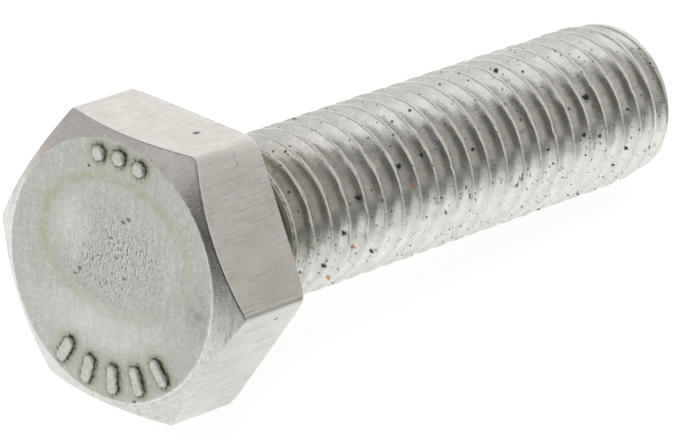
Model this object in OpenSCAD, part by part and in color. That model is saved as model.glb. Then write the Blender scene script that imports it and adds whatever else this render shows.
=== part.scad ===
// A hex head bolt with thread along its whole shank.
// It lies along X: the head is on the left, the point on the right.
// The origin is the middle of the bearing face, and one flat of the head looks down.

/* [Head] */
// Across flats: the spanner size
across_flats = 13; // [11:0.5:16]
// From the bearing face to the top of the head
head_height = 5.2; // [3.5:0.1:8]
// How far the flat circle on top stays inside the flats
top_circle_inset = 0.4; // [0.2:0.05:1]
// Slope of the chamfer round the top
top_chamfer_angle = 30; // [15:1:35]
// How much the corners lose, measured towards the axis, on the bearing side
back_bevel = 0.4; // [0.1:0.05:0.8]
// Slope of that bevel
back_bevel_angle = 30; // [15:1:45]

/* [Washer face] */
// How far the washer face stays inside the flats
washer_face_inset = 0.65; // [0.3:0.05:1]
// Thickness of the washer face
washer_face_height = 0.4; // [0.2:0.05:0.8]

/* [Forging dish] */
// Diameter of the shallow dish in the top of the head
dish_d = 6.8; // [3:0.1:7]
// Depth of the dish
dish_depth = 0.08; // [0.04:0.01:0.3]
// Width of the sloping rim of the dish
dish_rim = 0.35; // [0.1:0.05:0.6]
// How far the dish sits above the axis
dish_rise = 1.1; // [0:0.1:1.2]

/* [Raised marks] */
// How far the marks stand up from the head
mark_height = 0.2; // [0.1:0.05:0.4]
// Gap between the marks and the edge of the flat circle
mark_edge_gap = 0.3; // [0.1:0.05:0.6]
// Number of radial bars below the dish
bar_count = 5; // [1:1:7]
// Length of a bar
bar_length = 1.4; // [0.8:0.1:1.6]
// Width of a bar
bar_width = 0.6; // [0.3:0.05:0.8]
// Angle from one bar to the next
bar_spacing = 17; // [14:1:25]
// Turn of the row of bars away from straight down
bar_turn = -8; // [-20:1:20]
// Number of round pips above the dish
pip_count = 3; // [1:1:5]
// Diameter of a pip
pip_d = 0.75; // [0.4:0.05:0.9]
// Angle from one pip to the next
pip_spacing = 13; // [11:1:20]

/* [Thread] */
// Outer diameter of the thread
thread_d = 8; // [6:0.5:9]
// Pitch of the thread
pitch = 1.25; // [0.75:0.05:1.5]
// From the bearing face to the end of the point
shank_length = 30.4; // [12:0.1:60]
// Angle of the crest where its helix would meet the bearing face
crest_angle = 69.5; // [0:0.5:360]
// Turns over which the thread rises to its full height
runout_turns = 0.6; // [0.3:0.1:1]

/* [Neck] */
// Radius of the fillet between the bearing face and the neck
neck_fillet = 0.45; // [0.2:0.05:0.8]

/* [Point] */
// Length of the shank's last stretch
point_length = 1.2; // [0.6:0.1:3]
// How far the end chamfer reaches along the thread
point_chamfer = 0.45; // [0.2:0.05:0.6]
// Diameter of the cup in the end face
cup_d = 4.4; // [2:0.1:5]
// Depth of the cup
cup_depth = 0.25; // [0.1:0.05:0.5]

/* [Hidden] */
$fn = 96;
steel = [0.78, 0.78, 0.75];
dark_steel = [0.62, 0.61, 0.58];
// How far a cutting shape runs past what it cuts
overrun = 1;

// Head
corner_r = across_flats / 2 / cos(30);
hex_height = head_height - washer_face_height;
top_circle_r = across_flats / 2 - top_circle_inset;
washer_face_r = across_flats / 2 - washer_face_inset;
mark_edge_r = top_circle_r - mark_edge_gap;

// Thread: the metric profile, a 60 degree ridge with a narrow flat crest
flank_angle = 30;
crest_flat = pitch / 8;
depth_per_pitch = 0.61343;
pitch_line_per_pitch = 0.32476;
thread_depth = depth_per_pitch * pitch;
thread_r = thread_d / 2;
root_r = thread_r - thread_depth;
// The neck is as thick as the blank was, before the thread was rolled into it
neck_r = thread_r - pitch_line_per_pitch * pitch;
// The fillet ends where the washer face begins
collar_r = neck_r + neck_fillet;
neck_end = neck_fillet;
core_end = shank_length - point_length;

// Helix of the ridge: its foot starts below the root, so that the core cuts it clean
steps_per_turn = 24;
foot_sink = 0.06;
foot_r = root_r - foot_sink;
first_crest_rise = 0.08;
foot_half = ridge_half(foot_r);
neck_gap = 0.05;
first_x = neck_end + neck_gap + foot_half;
last_x = shank_length + foot_half;
step_count = ceil((last_x - first_x) / pitch * steps_per_turn);
runout_steps = runout_turns * steps_per_turn;

// Half the width of the ridge at radius r
function ridge_half(r) = crest_flat / 2 + (thread_r - r) * tan(flank_angle);

// Height of the ridge's crest at a step: it rises out of the core at the neck
function crest_r(step) =
    let(share = min(1, step / runout_steps))
    root_r + first_crest_rise + (thread_depth - first_crest_rise) * share;

// A point of the thread, from its place along the axis, its radius and its angle
function around(x, r, angle) = [x, r * cos(angle), r * sin(angle)];

// The four corners of the ridge at a step
function ridge_section(step) =
    let(
        x = first_x + step * pitch / steps_per_turn,
        angle = crest_angle + 360 * x / pitch,
        top_r = crest_r(step),
        top_half = ridge_half(top_r)
    )
    [
        around(x - foot_half, foot_r, angle),
        around(x - top_half, top_r, angle),
        around(x + top_half, top_r, angle),
        around(x + foot_half, foot_r, angle)
    ];

// Turns a shape that stands on Z so that it lies along X from x
module along_x(x) {
    translate([x, 0, 0])
        rotate([0, 90, 0])
            children();
}

// The round outline that the hexagon is turned to: chamfer on top, bevel behind
module head_envelope() {
    wide_r = corner_r + overrun;
    bevel_r = corner_r - back_bevel;
    rotate_extrude()
        polygon([
            [0, 0],
            [top_circle_r, 0],
            [wide_r, (wide_r - top_circle_r) * tan(top_chamfer_angle)],
            [wide_r, hex_height - (wide_r - bevel_r) * tan(back_bevel_angle)],
            [bevel_r, hex_height],
            [0, hex_height]
        ]);
}

// The space of the dish, cut a little above the top of the head too
module dish_space() {
    translate([-dish_rise, 0, 0]) {
        cylinder(d1 = dish_d, d2 = dish_d - 2 * dish_rim, h = dish_depth);
        translate([0, 0, -overrun])
            cylinder(d = dish_d, h = overrun);
    }
}

module hex_head() {
    color(steel)
        along_x(-head_height)
            difference() {
                intersection() {
                    rotate(30)
                        cylinder(r = corner_r, h = hex_height, $fn = 6);
                    head_envelope();
                }
                dish_space();
            }
}

module washer_face() {
    color(steel)
        along_x(-washer_face_height)
            difference() {
                cylinder(r = washer_face_r, h = washer_face_height);
                translate([0, 0, -overrun])
                    cylinder(r = collar_r, h = washer_face_height + 2 * overrun);
            }
}

// The shank's root: a collar inside the washer face, then the fillet down to the neck
module shank_neck() {
    color(dark_steel)
        along_x(-washer_face_height)
            rotate_extrude()
                difference() {
                    square([collar_r, washer_face_height + neck_end]);
                    translate([collar_r, washer_face_height + neck_end])
                        circle(r = neck_fillet);
                }
}

module shank_core() {
    color(dark_steel)
        along_x(neck_end)
            cylinder(r = root_r, h = core_end - neck_end);
}

// The space inside the end chamfer, up to the end of the point
module point_envelope() {
    clear_r = thread_r + overrun;
    end_r = thread_r - point_chamfer;
    rotate_extrude()
        polygon([
            [0, 0],
            [clear_r, 0],
            [clear_r, shank_length - (clear_r - end_r)],
            [end_r, shank_length],
            [0, shank_length]
        ]);
}

module ridge() {
    last = 4 * step_count;
    sides = [
        for (step = [0 : step_count - 1], side = [0 : 3])
            let(
                a = 4 * step + side,
                b = 4 * step + (side + 1) % 4
            )
            each [[a, b, b + 4], [a, b + 4, a + 4]]
    ];
    ends = [
        [3, 2, 1], [3, 1, 0],
        [last, last + 1, last + 2], [last, last + 2, last + 3]
    ];
    polyhedron([for (step = [0 : step_count]) each ridge_section(step)], concat(sides, ends));
}

module screw_thread() {
    color(steel)
        difference() {
            intersection() {
                ridge();
                along_x(0)
                    point_envelope();
            }
            along_x(0)
                cylinder(r = root_r, h = shank_length + overrun);
        }
}

module shank_point() {
    color(dark_steel)
        along_x(core_end)
            difference() {
                cylinder(r = root_r, h = point_length);
                translate([0, 0, point_length - cup_depth])
                    cylinder(d1 = 0, d2 = cup_d, h = cup_depth);
            }
}

// A bar with round ends, pointing away from the axis and ending at the edge radius
module round_bar() {
    reach = bar_length - bar_width;
    translate([mark_edge_r - bar_length + bar_width / 2, 0]) {
        circle(d = bar_width);
        translate([reach, 0])
            circle(d = bar_width);
        translate([0, -bar_width / 2])
            square([reach, bar_width]);
    }
}

module head_mark_bars() {
    color(steel)
        along_x(-head_height - mark_height)
            for (i = [0 : bar_count - 1])
                rotate(bar_turn + (i - (bar_count - 1) / 2) * bar_spacing)
                    linear_extrude(mark_height)
                        round_bar();
}

module head_mark_pips() {
    color(steel)
        along_x(-head_height - mark_height)
            for (i = [0 : pip_count - 1])
                rotate(180 + (i - (pip_count - 1) / 2) * pip_spacing)
                    translate([mark_edge_r - pip_d / 2, 0, 0])
                        cylinder(d = pip_d, h = mark_height);
}

hex_head();
washer_face();
shank_neck();
shank_core();
screw_thread();
shank_point();
head_mark_bars();
head_mark_pips();
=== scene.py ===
# %% [markdown]
# # A stainless hex bolt, dressed for a studio picture
# The bolt is one piece of steel: an upset head, trimmed to a hexagon, and a shank with a rolled
# thread. The CAD frame gives its true sizes as eight touching features.
# Here each feature gets a finer skin with soft edges and its own metal finish.
# Every length below is in millimetres, and one helper turns finished meshes into metres.

# %% Load the frame
import math

import bmesh
import bpy
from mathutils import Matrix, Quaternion, Vector, noise


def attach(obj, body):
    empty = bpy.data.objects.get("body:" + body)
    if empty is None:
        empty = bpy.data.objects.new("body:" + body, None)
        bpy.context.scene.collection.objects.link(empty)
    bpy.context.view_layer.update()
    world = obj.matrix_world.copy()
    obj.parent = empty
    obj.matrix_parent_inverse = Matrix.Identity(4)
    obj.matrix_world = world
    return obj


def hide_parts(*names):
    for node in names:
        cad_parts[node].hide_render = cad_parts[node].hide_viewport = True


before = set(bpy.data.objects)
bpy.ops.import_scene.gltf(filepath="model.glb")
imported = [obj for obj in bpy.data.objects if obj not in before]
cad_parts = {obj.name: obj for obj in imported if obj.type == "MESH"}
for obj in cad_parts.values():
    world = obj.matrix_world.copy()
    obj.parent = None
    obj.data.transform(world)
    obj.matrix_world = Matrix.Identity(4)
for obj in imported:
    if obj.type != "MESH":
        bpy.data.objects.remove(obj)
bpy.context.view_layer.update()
print("CAD nodes:", sorted(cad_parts))

# %% [markdown]
# ## The camera
# The photograph was taken with a long lens from about 29 cm, in front of the head and a little
# above it. Those numbers came from fitting a pinhole camera to the corners of the hexagon and the
# crests of the thread. A long lens keeps the far end of the bolt almost as large as the near end.

# %% Place the camera
MM = 0.001
EYE = (-203.12, -173.45, 110.49)
AIM = (4.80, -5.34, 1.68)
ROLL_DEG = 5.659
SENSOR_WIDTH = 36.0
LENS = 328.39
CLIP_NEAR, CLIP_FAR = 10.0, 10000.0


def metres(point):
    return Vector(point) * MM


def put_in_scene(name, data):
    """A new object that shows a mesh, a lamp or a camera."""
    made = bpy.data.objects.new(name, data)
    bpy.context.scene.collection.objects.link(made)
    return made


camera = put_in_scene("camera", bpy.data.cameras.new("camera"))
bpy.context.scene.camera = camera
camera.data.sensor_width = SENSOR_WIDTH
camera.data.lens = LENS
camera.data.clip_start = CLIP_NEAR * MM
camera.data.clip_end = CLIP_FAR * MM
camera.location = metres(EYE)
view = (metres(AIM) - metres(EYE)).to_track_quat("-Z", "Y")
camera.rotation_mode = "QUATERNION"
camera.rotation_quaternion = view @ Quaternion((0, 0, 1), math.radians(ROLL_DEG))
print("Camera distance in mm:", round((Vector(AIM) - Vector(EYE)).length, 1))

# %% [markdown]
# ## The table
# A bolt on a table rests on one edge of its head and on the crests near its point, so the table
# leans a little against the bolt's axis. The CAD frame keeps the axis level, and the table is
# tilted instead.

# %% Lay the table under the bolt
HEAD_REST = (-0.4, 0.0, -6.5)
THREAD_REST = (29.95, 0.0, -4.0)
TABLE_HALF = 900.0

table_tilt = math.atan2(THREAD_REST[2] - HEAD_REST[2], THREAD_REST[0] - HEAD_REST[0])
table_mesh = bpy.data.meshes.new("table")
table_mesh.from_pydata(
    [metres((x * TABLE_HALF, y * TABLE_HALF, 0)) for x, y in ((-1, -1), (1, -1), (1, 1), (-1, 1))],
    [],
    [(0, 1, 2, 3)],
)
table = put_in_scene("table", table_mesh)
table.location = metres(HEAD_REST)
table.rotation_euler = (0, -table_tilt, 0)
print("Table tilt in degrees:", round(math.degrees(table_tilt), 2))

# %% [markdown]
# ## Small helpers for node trees
# A node tree is easier to read when each node is one line. `add` makes a node and sets its options.
# `feed` wires a socket into an input, or sets the input to a plain value. A socket knows its own
# tree as `id_data`, so the helpers below need no tree: they take sockets and numbers and return a
# socket. Wiring in the Shader Editor gives the same tree, but can't be read from top to bottom.

# %% Node helpers
def add(tree, kind, inputs=None, **options):
    """A node of that kind, with options set and unlinked inputs given by name."""
    made = tree.nodes.new(kind)
    for name, value in options.items():
        setattr(made, name, value)
    for name, value in (inputs or {}).items():
        made.inputs[name].default_value = value
    return made


def feed(target, value):
    if isinstance(value, bpy.types.NodeSocket):
        target.id_data.links.new(value, target)
    else:
        target.default_value = value


def tree_of(*values):
    """The node tree of the first socket among some values."""
    return next(value.id_data for value in values if isinstance(value, bpy.types.NodeSocket))


def maths(operation, first, second=0.0, clamp=False):
    """A Math node. Each input is a socket or a number."""
    made = add(tree_of(first, second), "ShaderNodeMath", operation=operation, use_clamp=clamp)
    feed(made.inputs[0], first)
    feed(made.inputs[1], second)
    return made.outputs[0]


def plus(first, second):
    return maths("ADD", first, second)


def minus(first, second):
    return maths("SUBTRACT", first, second)


def times(first, *others):
    for other in others:
        first = maths("MULTIPLY", first, other)
    return first


def largest(first, *others):
    """The largest of several masks, so that all of them show."""
    for other in others:
        first = maths("MAXIMUM", first, other)
    return first


def ramp(value, low, high, to_low=0.0, to_high=1.0, smooth=False):
    """Maps a value from low..high to to_low..to_high, and stops at the ends."""
    kind = "SMOOTHSTEP" if smooth else "LINEAR"
    made = add(value.id_data, "ShaderNodeMapRange", interpolation_type=kind)
    for number, given in enumerate((value, low, high, to_low, to_high)):
        feed(made.inputs[number], given)
    return made.outputs["Result"]


print("Number helpers ready")

# %% [markdown]
# Places on the metal are vectors, so they have helpers of their own: one for sums, one that takes a
# place apart, and one that reads a Noise texture there.
# A finish is laid on like coats of paint. Each coat has a colour and a mask that says how much of it
# covers the coats below, which is one Mix node per coat.

# %% Helpers for places and colours
# A Mix node has sockets for each kind of data. These are the numbers of those for colours.
MIX_SHARE, MIX_BELOW, MIX_ABOVE, MIX_RESULT = 0, 6, 7, 2


def vector_maths(operation, *values):
    """A Vector Math node. Each value is a socket or three numbers."""
    made = add(tree_of(*values), "ShaderNodeVectorMath", operation=operation)
    for number, value in enumerate(values):
        feed(made.inputs[number], value)
    return made.outputs["Value" if operation == "LENGTH" else "Vector"]


def axes_of(where):
    """The three coordinates of a place."""
    made = add(where.id_data, "ShaderNodeSeparateXYZ")
    feed(made.inputs[0], where)
    return made.outputs


def noise_at(where, scale, detail, roughness=0.5, output="Fac"):
    """A Noise texture, read at a place."""
    made = add(where.id_data, "ShaderNodeTexNoise", {"Detail": detail, "Roughness": roughness})
    feed(made.inputs["Vector"], where)
    feed(made.inputs["Scale"], scale)
    return made.outputs[output]


def layered(colour, *coats):
    """Lays coats over a colour. Each coat is its mask and its colour, as (red, green, blue)."""
    below = (*colour, 1.0)
    for share, coat in coats:
        made = add(share.id_data, "ShaderNodeMix", data_type="RGBA")
        feed(made.inputs[MIX_SHARE], share)
        feed(made.inputs[MIX_BELOW], below)
        feed(made.inputs[MIX_ABOVE], (*coat, 1.0))
        below = made.outputs[MIX_RESULT]
    return below


print("Place and colour helpers ready")

# %% [markdown]
# ## Light
# Bare steel has almost no colour of its own: it shows the room. The room here is a light tent with
# a bright back wall, a greyer right side, a dark front where the camera stands and a dim front
# half of the roof. Lamps alone would miss the dark parts, which matter as much on metal, so the
# tent is painted into the world as soft panels. A panel's bearing is counted in degrees from where
# the head faces, towards the camera's side, and its height from the horizon.

# %% Paint the tent into the world
TENT_LIGHT = (0.88, 0.88, 0.87)
# Each panel: bearing, height, half width, half height, soft edge, colour
PANELS = {
    "front roof": (-15, 66, 75, 18, 12, (0.46, 0.46, 0.45)),
    "back wall": (-135, 20, 40, 22, 18, (1.07, 1.055, 1.015)),
    "right side": (125, 24, 45, 44, 14, (0.66, 0.645, 0.615)),
    "left lamp": (-16, 31, 12, 5, 6, (1.10, 1.09, 1.06)),
    "dark front": (30, -4, 30, 26, 6, (0.185, 0.181, 0.171)),
}

world = bpy.data.worlds.new("tent")
bpy.context.scene.world = world
world.use_nodes = True
tent = world.node_tree
tent.nodes.clear()
east, north, up = axes_of(add(tent, "ShaderNodeTexCoord").outputs["Generated"])
bearing_now = maths("ARCTAN2", times(north, -1), times(east, -1))
height_now = maths("ARCSINE", up)


def within(value, middle, half, soft):
    """1 near the middle angle, falling to 0 past its half width. Angles are in degrees."""
    apart = maths("ABSOLUTE", minus(value, math.radians(middle)))
    return ramp(apart, math.radians(half + soft), math.radians(half), smooth=True)


panels = []
for bearing, height, half_width, half_height, soft, colour in PANELS.values():
    across = within(bearing_now, bearing, half_width, soft)
    upward = within(height_now, height, half_height, soft)
    panels.append((times(across, upward), colour))
background = add(tent, "ShaderNodeBackground")
feed(background.inputs["Color"], layered(TENT_LIGHT, *panels))
feed(add(tent, "ShaderNodeOutputWorld").inputs["Surface"], background.outputs[0])
bpy.context.scene.view_settings.view_transform = "Standard"
print("Panels in the tent:", ", ".join(PANELS))

# %% [markdown]
# One wide lamp above the tent gives the bolt a soft contact shadow. The steel doesn't mirror it:
# in the photograph the front of the roof shows as a thin dark line beside each crest.

# %% Hang the overhead lamp
LAMP_PLACE = (10.0, 0.0, 600.0)
LAMP_SIDE = 500.0
LAMP_WATTS = 1.9

lamp = put_in_scene("overhead_lamp", bpy.data.lights.new("overhead_lamp", "AREA"))
lamp.data.size = LAMP_SIDE * MM
lamp.data.energy = LAMP_WATTS
lamp.location = metres(LAMP_PLACE)
lamp.visible_glossy = False
print("Overhead lamp in watts:", LAMP_WATTS)

# %% [markdown]
# ## Finish of the table
# The table is a white acrylic sheet lit from below, so it is almost free of shadows. The part of
# the sheet towards the camera is darker, and so is the part close to the head, which shows in the
# steel. The picture's background stays white, so the sheet is made twice: one copy for the eye,
# and one that only the steel mirrors.

# %% Lit sheet
SHEET_LIGHT = 0.90
SHEET_COLOUR, GLOW_COLOUR = (0.15, 0.15, 0.15), (1.0, 1.0, 0.995)
MIRRORED_TINT = (0.972, 1.0, 0.976)
# The mirrored glow near the bolt and far in front of it, where it falls and how steeply
GLOW_NEAR, GLOW_FAR = 1.22, 0.31
GLOW_REACH, GLOW_STEEPNESS = 14.0, 4.0
HEAD_SHADE, HEAD_SHADE_REACH = 0.18, 3.5


def new_material(name, settings):
    """A material and its Principled shader, with inputs of the shader set by name."""
    material = bpy.data.materials.new(name)
    material.use_nodes = True
    shader = material.node_tree.nodes["Principled BSDF"]
    for input_name, value in settings.items():
        shader.inputs[input_name].default_value = value
    return material, shader


def sheet_finish(name, own_colour, glow_colour):
    """A dull sheet that glows. Its glow has no strength yet."""
    settings = {"Roughness": 0.9, "Specular IOR Level": 0.1}
    settings["Base Color"] = (*own_colour, 1.0)
    settings["Emission Color"] = (*glow_colour, 1.0)
    return new_material(name, settings)


mirrored = put_in_scene("mirrored_sheet", table_mesh.copy())
mirrored.location = table.location
mirrored.rotation_euler = table.rotation_euler
mirrored.visible_camera = False
mirrored.visible_diffuse = False
mirrored.visible_shadow = False
table.visible_glossy = False

acrylic, shader = sheet_finish("lit_acrylic", SHEET_COLOUR, GLOW_COLOUR)
feed(shader.inputs["Emission Strength"], SHEET_LIGHT)
glow, shader = sheet_finish("mirrored_sheet", (0.0, 0.0, 0.0), MIRRORED_TINT)
along, across, _ = axes_of(add(glow.node_tree, "ShaderNodeTexCoord").outputs["Object"])
front = largest(times(across, -1 / (GLOW_REACH * MM)), 0.0)
fall = maths("DIVIDE", GLOW_NEAR - GLOW_FAR, plus(maths("POWER", front, GLOW_STEEPNESS), 1.0))
beside = maths("POWER", maths("ABSOLUTE", times(along, 1 / (HEAD_SHADE_REACH * MM))), 2.0)
kept = minus(1.0, times(maths("EXPONENT", times(beside, -1.0)), HEAD_SHADE))
feed(shader.inputs["Emission Strength"], times(plus(fall, GLOW_FAR), kept))
table.data.materials.append(acrylic)
mirrored.data.materials.append(glow)
print("Sheet finishes:", acrylic.name, glow.name)

# %% [markdown]
# ## Shared surface effects
# Some effects come back in several finishes, so each is a node group that is built once: a cloudy
# mottle, fine drawn lines, scattered specks of dirt, torn flecks, and one spot at a chosen place.
# They read the object's own coordinates in millimetres, which stay fixed to the metal from every
# side, and each puts out one mask.

# %% Start a node group
def new_group(name, **inputs):
    """A group that turns a place and some values into a mask, with its inputs and that output."""
    group = bpy.data.node_groups.new(name, "ShaderNodeTree")
    group.interface.new_socket("Vector", in_out="INPUT", socket_type="NodeSocketVector")
    for input_name, value in inputs.items():
        kind = "NodeSocketVector" if isinstance(value, tuple) else "NodeSocketFloat"
        label = input_name.replace("_", " ")
        group.interface.new_socket(label, in_out="INPUT", socket_type=kind).default_value = value
    group.interface.new_socket("Mask", in_out="OUTPUT", socket_type="NodeSocketFloat")
    print("Group:", name)
    return group, add(group, "NodeGroupInput").outputs, add(group, "NodeGroupOutput").inputs["Mask"]


def place(group, where, **values):
    """Places a group in a finish with its own values, and returns its mask."""
    made = add(where.id_data, "ShaderNodeGroup", node_tree=group)
    feed(made.inputs["Vector"], where)
    for name, value in values.items():
        made.inputs[name.replace("_", " ")].default_value = value
    return made.outputs["Mask"]


print("Group helpers ready")

# %% [markdown]
# Cold worked steel is never even: its grain and old polish show as soft clouds. A Noise texture
# gives them, and a contrast round its middle value sets how hard they stand out. A Color Ramp would
# do that too, but can't take its stops from the group's inputs.

# %% Cloudy mottle
mottle, given, mask = new_group("cloudy mottle", Scale=1.0, Contrast=2.0)
clouds = noise_at(given["Vector"], given["Scale"], detail=5.0, roughness=0.62)
spread = times(minus(clouds, 0.5), given["Contrast"])
feed(mask, maths("ADD", spread, 0.5, clamp=True))

# %% [markdown]
# The trimming die draws lines along the bolt's axis. A Wave texture would make them too regular, so
# they are noise again, stretched along X and fine across it.

# %% Drawn lines
lines, given, mask = new_group("drawn lines", Lines_per_mm=6.0, Stretch=0.03)
squeeze = add(lines, "ShaderNodeCombineXYZ", {"Y": 1.0, "Z": 1.0})
feed(squeeze.inputs["X"], given["Stretch"])
drawn = vector_maths("MULTIPLY", given["Vector"], squeeze.outputs[0])
feed(mask, noise_at(drawn, given["Lines per mm"], detail=3.0, roughness=0.7))

# %% [markdown]
# Dirt lies on the bolt as single black specks. A Voronoi texture splits space into cells, and each
# cell holds at most one speck. The cell's random colour says whether it has one and how large it
# is. A little noise in the coordinates makes the outlines ragged.

# %% Scattered specks
RAGGED, RAGGED_PER_MM = (0.14, 0.14, 0.14), 9.0
SMALLEST_SPECK, SPECK_CORE = 0.35, 0.55

specks, given, mask = new_group("scattered specks", Cells_per_mm=1.0, Share=0.3, Radius=0.2)
ragged = noise_at(given["Vector"], RAGGED_PER_MM, detail=4.0, roughness=0.7, output="Color")
cells = add(specks, "ShaderNodeTexVoronoi")
feed(cells.inputs["Vector"], vector_maths("MULTIPLY_ADD", ragged, RAGGED, given["Vector"]))
feed(cells.inputs["Scale"], given["Cells per mm"])
chance = add(specks, "ShaderNodeSeparateColor")
feed(chance.inputs[0], cells.outputs["Color"])
present = maths("LESS_THAN", chance.outputs[0], given["Share"])
radius = times(given["Radius"], ramp(chance.outputs[1], 0, 1, SMALLEST_SPECK, 1))
inside = ramp(cells.outputs["Distance"], radius, times(radius, SPECK_CORE))
feed(mask, times(inside, present))

# %% [markdown]
# Where a tool tore the skin of the steel it left small ragged marks, taller than wide. Noise that is
# stretched upwards and cut off at a level leaves just such marks.

# %% Torn flecks
FLECK_STRETCH = (1.0, 1.0, 0.42)
FLECK_EDGE = 0.08

torn, given, mask = new_group("torn flecks", Marks_per_mm=6.0, Cut=0.6)
upright = vector_maths("MULTIPLY", given["Vector"], FLECK_STRETCH)
marks = noise_at(upright, given["Marks per mm"], detail=4.0, roughness=0.7)
feed(mask, ramp(marks, given["Cut"], plus(given["Cut"], FLECK_EDGE)))

# %% [markdown]
# Some specks and scratches are large enough to be recognised, so they get a place of their own. The
# mask is the distance to that place, with an uneven edge. Shape stretches the distance along each
# axis, so a spot can be a scratch as well.

# %% One spot at a chosen place
SPOT_CORE = 0.5
# The uneven edge: its waves per mm, and the shares of the radius that low and high noise give
WOBBLE_PER_MM, WOBBLE_LEVELS, WOBBLE_SHARES = 8.0, (0.3, 0.7), (0.5, 1.35)

spot, given, mask = new_group(
    "placed spot", Centre=(0.0, 0.0, 0.0), Shape=(1.0, 1.0, 1.0), Radius=0.15
)
offset = vector_maths("SUBTRACT", given["Vector"], given["Centre"])
apart = vector_maths("LENGTH", vector_maths("MULTIPLY", offset, given["Shape"]))
wobble = noise_at(given["Vector"], WOBBLE_PER_MM, detail=2.0)
edge = times(ramp(wobble, *WOBBLE_LEVELS, *WOBBLE_SHARES), given["Radius"])
feed(mask, ramp(apart, edge, times(edge, SPOT_CORE)))

# %% [markdown]
# ## Starting and ending a finish
# Every finish is a metal: a Principled shader with Metallic at one. `metal` makes the start that all
# of them share, and `complete` wires the coats, the roughness and the bump to the shader. Between
# them a finish only says which coats it has. Masks that belong to a certain edge or corner can't
# come from a texture: the mesh stores them at its points, and `painted` reads them.

# %% Start and end a metal finish
def metal(name):
    """A metal material, and the place on the bolt in millimetres."""
    material, _ = new_material(name, {"Metallic": 1.0})
    place_in_metres = add(material.node_tree, "ShaderNodeTexCoord").outputs["Object"]
    return material, vector_maths("MULTIPLY", place_in_metres, (1 / MM, 1 / MM, 1 / MM))


def painted(material, name):
    """A value that the mesh stores at its points."""
    return add(material.node_tree, "ShaderNodeAttribute", attribute_name=name).outputs["Fac"]


def from_axis(where):
    """The distance from the bolt's axis."""
    return vector_maths("LENGTH", vector_maths("MULTIPLY", where, (0.0, 1.0, 1.0)))


def placed_spots(where, places, shape=(1.0, 1.0, 1.0)):
    """One mask for several placed spots, each a centre and a radius."""
    return largest(*[place(spot, where, Centre=at, Radius=size, Shape=shape) for at, size in places])


def complete(material, colour, roughness, relief, depth):
    """Wires a finish to its shader. Where relief is 1, the bump is depth millimetres high."""
    bump = add(material.node_tree, "ShaderNodeBump", {"Strength": 1.0, "Distance": depth * MM})
    feed(bump.inputs["Height"], relief)
    shader = material.node_tree.nodes["Principled BSDF"]
    feed(shader.inputs["Base Color"], colour)
    feed(shader.inputs["Roughness"], roughness)
    feed(shader.inputs["Normal"], bump.outputs[0])
    print("Finish:", material.name)


print("Metal finish ready")

# %% [markdown]
# ## Building meshes from rings
# Almost everything on a bolt is round, so a piece is a stack of rings joined by quads. A Screw
# modifier could turn a profile too, but the hexagon and the dish need rings whose points move one
# by one. Each piece rides with the bolt, stands for some of the CAD nodes and has a material slot.

# %% Ring helpers
def around(x, radius, angle):
    """A point at a radius and at an angle from +Y towards +Z."""
    return (x, radius * math.cos(angle), radius * math.sin(angle))


def skin(rings):
    """Joins rings of equal length, from -X to +X, and closes both ends with a fan."""
    count = len(rings[0])
    points = [p for ring in rings for p in ring]
    faces = []
    for i in range(len(rings) - 1):
        for j in range(count):
            k = (j + 1) % count
            faces.append((i * count + j, i * count + k, (i + 1) * count + k, (i + 1) * count + j))
    for ring, start, forward in ((rings[0], 0, False), (rings[-1], len(points) - count, True)):
        hub = len(points)
        points.append(tuple(sum(axis) / count for axis in zip(*ring)))
        for j in range(count):
            a, b = start + j, start + (j + 1) % count
            faces.append((hub, a, b) if forward else (hub, b, a))
    return points, faces


def make_piece(name, nodes, slot, points, faces, *materials):
    """A smooth mesh object in metres that rides with the bolt and stands for CAD nodes."""
    mesh = bpy.data.meshes.new(name)
    mesh.from_pydata([metres(p) for p in points], [], faces)
    for material in materials:
        mesh.materials.append(material)
    mesh.shade_smooth()
    piece = put_in_scene(name, mesh)
    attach(piece, "root")
    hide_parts(*nodes)
    print(name, "has", len(faces), "faces")
    return piece


HEAD_SLOT, SHANK_SLOT = "head_stainless", "shank_stainless"
print("Ring helpers ready")

# %% [markdown]
# Three small formulas soften everything that follows: a step with a smooth rise, a hump between two
# places, and a bell that fades with distance. `rounded` softens the corners of a profile. `paint`
# stores what the formulas give at the mesh's points. Vertex Paint could store it by hand, but
# numbers stay exact when the mesh changes.

# %% Soft steps and paint
# The curve at a corner takes up at most this share of the line on each side
EASE_LIMIT = 0.45


def smoothstep(low, high, value):
    t = min(1.0, max(0.0, (value - low) / (high - low)))
    return t * t * (3 - 2 * t)


def between(value, rise, fall):
    """1 between two places, with a smooth rise and fall. Each is its start and its end."""
    return smoothstep(*rise, value) * (1 - smoothstep(*fall, value))


def bell(apart, reach=1.0):
    """1 where apart is 0, falling smoothly to almost nothing at twice the reach."""
    return math.exp(-((apart / reach) ** 2))


def oval_distance(oval, across, upward):
    """1 on an oval's outline and less inside it. The oval is its middle and its half widths."""
    (middle_across, middle_upward), (half_across, half_upward) = oval
    return math.hypot((across - middle_across) / half_across, (upward - middle_upward) / half_upward)


def soft_patch(oval, across, upward):
    return bell(oval_distance(oval, across, upward))


def rounded(corners, reach, steps):
    """A line through corners of (x, radius), each inner corner eased by a short curve."""
    line = [corners[0]]
    for before, corner, after in zip(corners, corners[1:], corners[2:]):
        corner = Vector(corner)
        back, ahead = Vector(before) - corner, Vector(after) - corner
        start = corner + back.normalized() * min(reach, EASE_LIMIT * back.length)
        end = corner + ahead.normalized() * min(reach, EASE_LIMIT * ahead.length)
        for step in range(steps + 1):
            t = step / steps
            line.append(tuple(start * (1 - t) ** 2 + corner * 2 * t * (1 - t) + end * t * t))
    return line + [corners[-1]]


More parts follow.
